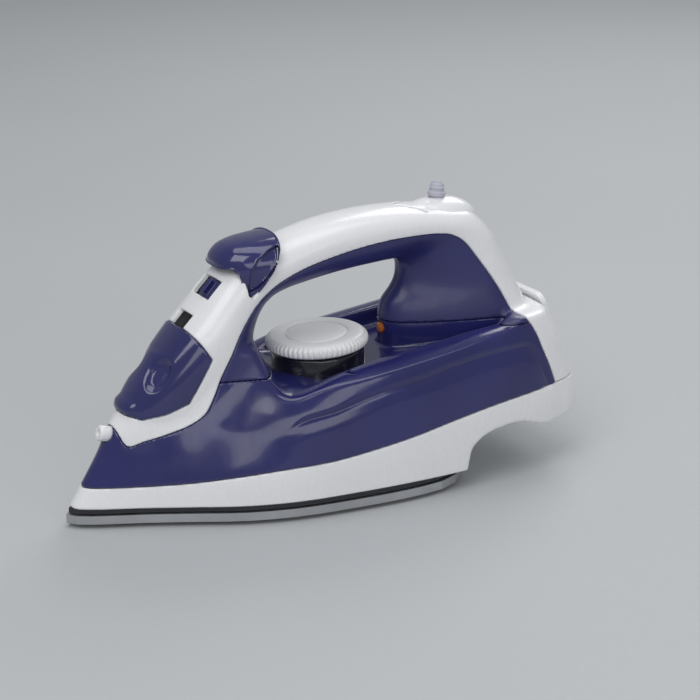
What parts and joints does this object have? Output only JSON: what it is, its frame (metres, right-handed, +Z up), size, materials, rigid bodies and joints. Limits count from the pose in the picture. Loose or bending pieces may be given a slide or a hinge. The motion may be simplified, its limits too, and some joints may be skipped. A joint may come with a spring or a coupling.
{
  "type": "steam iron",
  "caption": "Household steam iron with water tank, turning thermostat dial, hinged filling flap, steam lever, spray and steam buttons and a cord gland.",
  "frame": {"origin": "on the ironing face of the soleplate, under the middle of the object's bounding box", "axes": "-X towards the nose, +X towards the heel; Y across the iron; +Z up from the soleplate to the handle"},
  "size_m": [0.3004, 0.1162, 0.1588],
  "materials": {
    "white_shell": "smooth moulded plastic, soft gloss",
    "white_dial": "moulded plastic, ribbed edge",
    "navy_tank": "tinted glossy tank plastic",
    "navy_gloss": "polished moulded plastic",
    "navy_grip": "satin soft-touch plastic",
    "black_insulator": "heat-proof moulded plastic",
    "sole_metal": "polished pressed steel",
    "cast_alloy": "as die-cast",
    "sheath_metal": "drawn and heat-tinted",
    "spring_steel": "plated",
    "brass_seat": "turned",
    "cream_plastic": "heat-resistant moulding",
    "hose": "silicone",
    "grey_rubber": "soft moulded rubber",
    "wire_blue": "silicone insulation",
    "wire_brown": "silicone insulation",
    "wire_green": "silicone insulation",
    "amber_lens": "clear tinted lens"
  },
  "bodies": {
    "iron": {"soleplate": "sole_metal", "sole_casting": "cast_alloy", "heating_element": "sheath_metal", "chamber_cover": "sheath_metal", "heat_shield": "black_insulator", "lower_skirt": "white_shell", "water_tank": "navy_tank", "button_housing": "navy_tank", "spray_pump": "cream_plastic", "steam_pump": "cream_plastic", "spray_spring": "spring_steel", "steam_spring": "spring_steel", "spray_tube": "hose", "steam_tube": "hose", "handle_shell": "white_shell", "rear_cover": "white_shell", "cover_screw": "spring_steel", "grip": "navy_grip", "fill_door_pin": "spring_steel", "fill_funnel": "navy_tank", "spray_nozzle": "white_shell", "valve_seat": "brass_seat", "valve_seal": "hose", "dial_base": "black_insulator", "thermostat_body": "cream_plastic", "element_pin_left": "spring_steel", "element_pin_right": "spring_steel", "thermal_fuse": "cream_plastic", "terminal_block": "cream_plastic", "wire_neutral": "wire_blue", "wire_live": "wire_brown", "wire_earth": "wire_green", "wire_fuse": "wire_brown", "wire_thermostat": "wire_brown", "cord_collar": "white_shell", "cord_gland": "grey_rubber", "pilot_lamp": "amber_lens", "sole_screw_front": "spring_steel", "sole_screw_left": "spring_steel", "sole_screw_right": "spring_steel"},
    "dial": {"thermostat_dial": "white_dial", "thermostat_shaft": "spring_steel"},
    "spray_button": {"spray_button": "navy_gloss"},
    "spray_plunger": {"spray_plunger": "cream_plastic"},
    "steam_button": {"steam_button": "navy_gloss"},
    "steam_plunger": {"steam_plunger": "cream_plastic"},
    "fill_door": {"fill_door": "navy_gloss"},
    "steam_lever": {"steam_lever": "navy_gloss"},
    "valve_rod": {"valve_rod": "spring_steel"}
  },
  "joints": [
    {"name": "thermostat_turn", "type": "hinge", "parent": "iron", "child": "dial", "pos_m": [-0.00005, 0, 0.084], "axis": [-0.0523, 0, 0.9986], "range_deg": [0, 270]},
    {"name": "fill_door_hinge", "type": "hinge", "parent": "iron", "child": "fill_door", "pos_m": [-0.11545, 0, 0.0616], "axis": [0, -1, 0], "range_deg": [0, 60]},
    {"name": "steam_lever_turn", "type": "hinge", "parent": "iron", "child": "steam_lever", "pos_m": [-0.05528, 0, 0.10938], "axis": [-0.6955, 0, -0.7185], "range_deg": [0, 30]},
    {"name": "valve_rod_turn", "type": "hinge", "parent": "iron", "child": "valve_rod", "pos_m": [-0.05804, 0, 0], "axis": [0, 0, -1], "range_deg": [0, 30]},
    {"name": "spray_button_press", "type": "slide", "parent": "iron", "child": "spray_button", "axis": [0, 0.8, -0.6], "range_m": [0, 0.003], "stiffness_N_per_m": 900, "springref_m": -0.001},
    {"name": "spray_plunger_press", "type": "slide", "parent": "iron", "child": "spray_plunger", "axis": [-0.5, 0, -0.866], "range_m": [0, 0.0024], "deforming": ["spray_spring"]},
    {"name": "steam_button_press", "type": "slide", "parent": "iron", "child": "steam_button", "axis": [0, -0.8, -0.6], "range_m": [0, 0.003], "stiffness_N_per_m": 900, "springref_m": -0.001},
    {"name": "steam_plunger_press", "type": "slide", "parent": "iron", "child": "steam_plunger", "axis": [-0.5, 0, -0.866], "range_m": [0, 0.0024], "deforming": ["steam_spring"]}
  ],
  "couplings": [
    {"joint": "valve_rod_turn", "follows": "steam_lever_turn", "ratio": 1},
    {"joint": "spray_plunger_press", "follows": "spray_button_press", "ratio": 0.8},
    {"joint": "steam_plunger_press", "follows": "steam_button_press", "ratio": 0.8}
  ]
}
